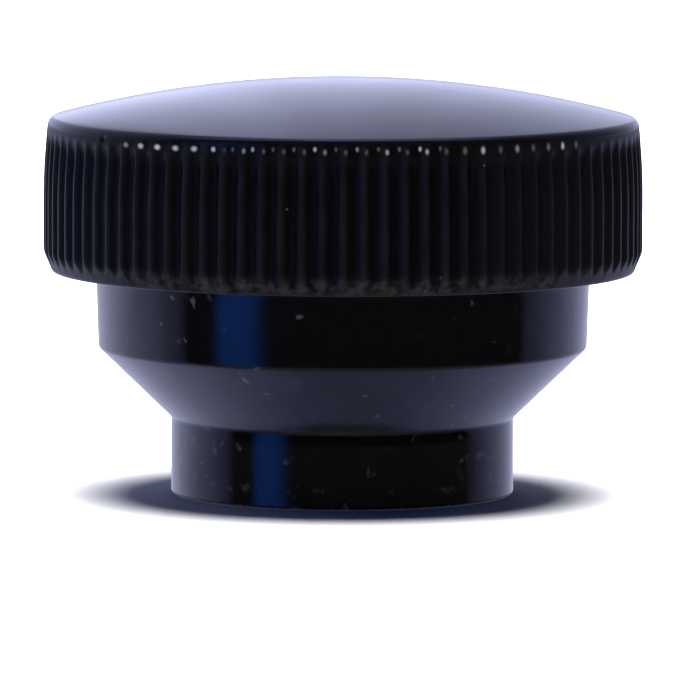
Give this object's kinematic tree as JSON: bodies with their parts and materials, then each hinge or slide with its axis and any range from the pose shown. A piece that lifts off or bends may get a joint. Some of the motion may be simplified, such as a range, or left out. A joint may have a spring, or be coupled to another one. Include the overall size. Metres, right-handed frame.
{
  "type": "knurled knob",
  "caption": "Black phenolic clamping knob: domed head with a finely fluted rim on a boss, cone and neck, with a tapped brass bush in its foot.",
  "frame": {"origin": "centre of the neck's foot, the flat face that the knob stands and seats on", "axes": "+Z along the knob's axis, from the foot to the dome"},
  "size_m": [0.035, 0.035, 0.0242],
  "materials": {
    "phenolic": "moulded gloss black phenolic",
    "brass": "turned and faced"
  },
  "bodies": {
    "root": {"knob_body": "phenolic", "threaded_insert": "brass"}
  },
  "joints": []
}
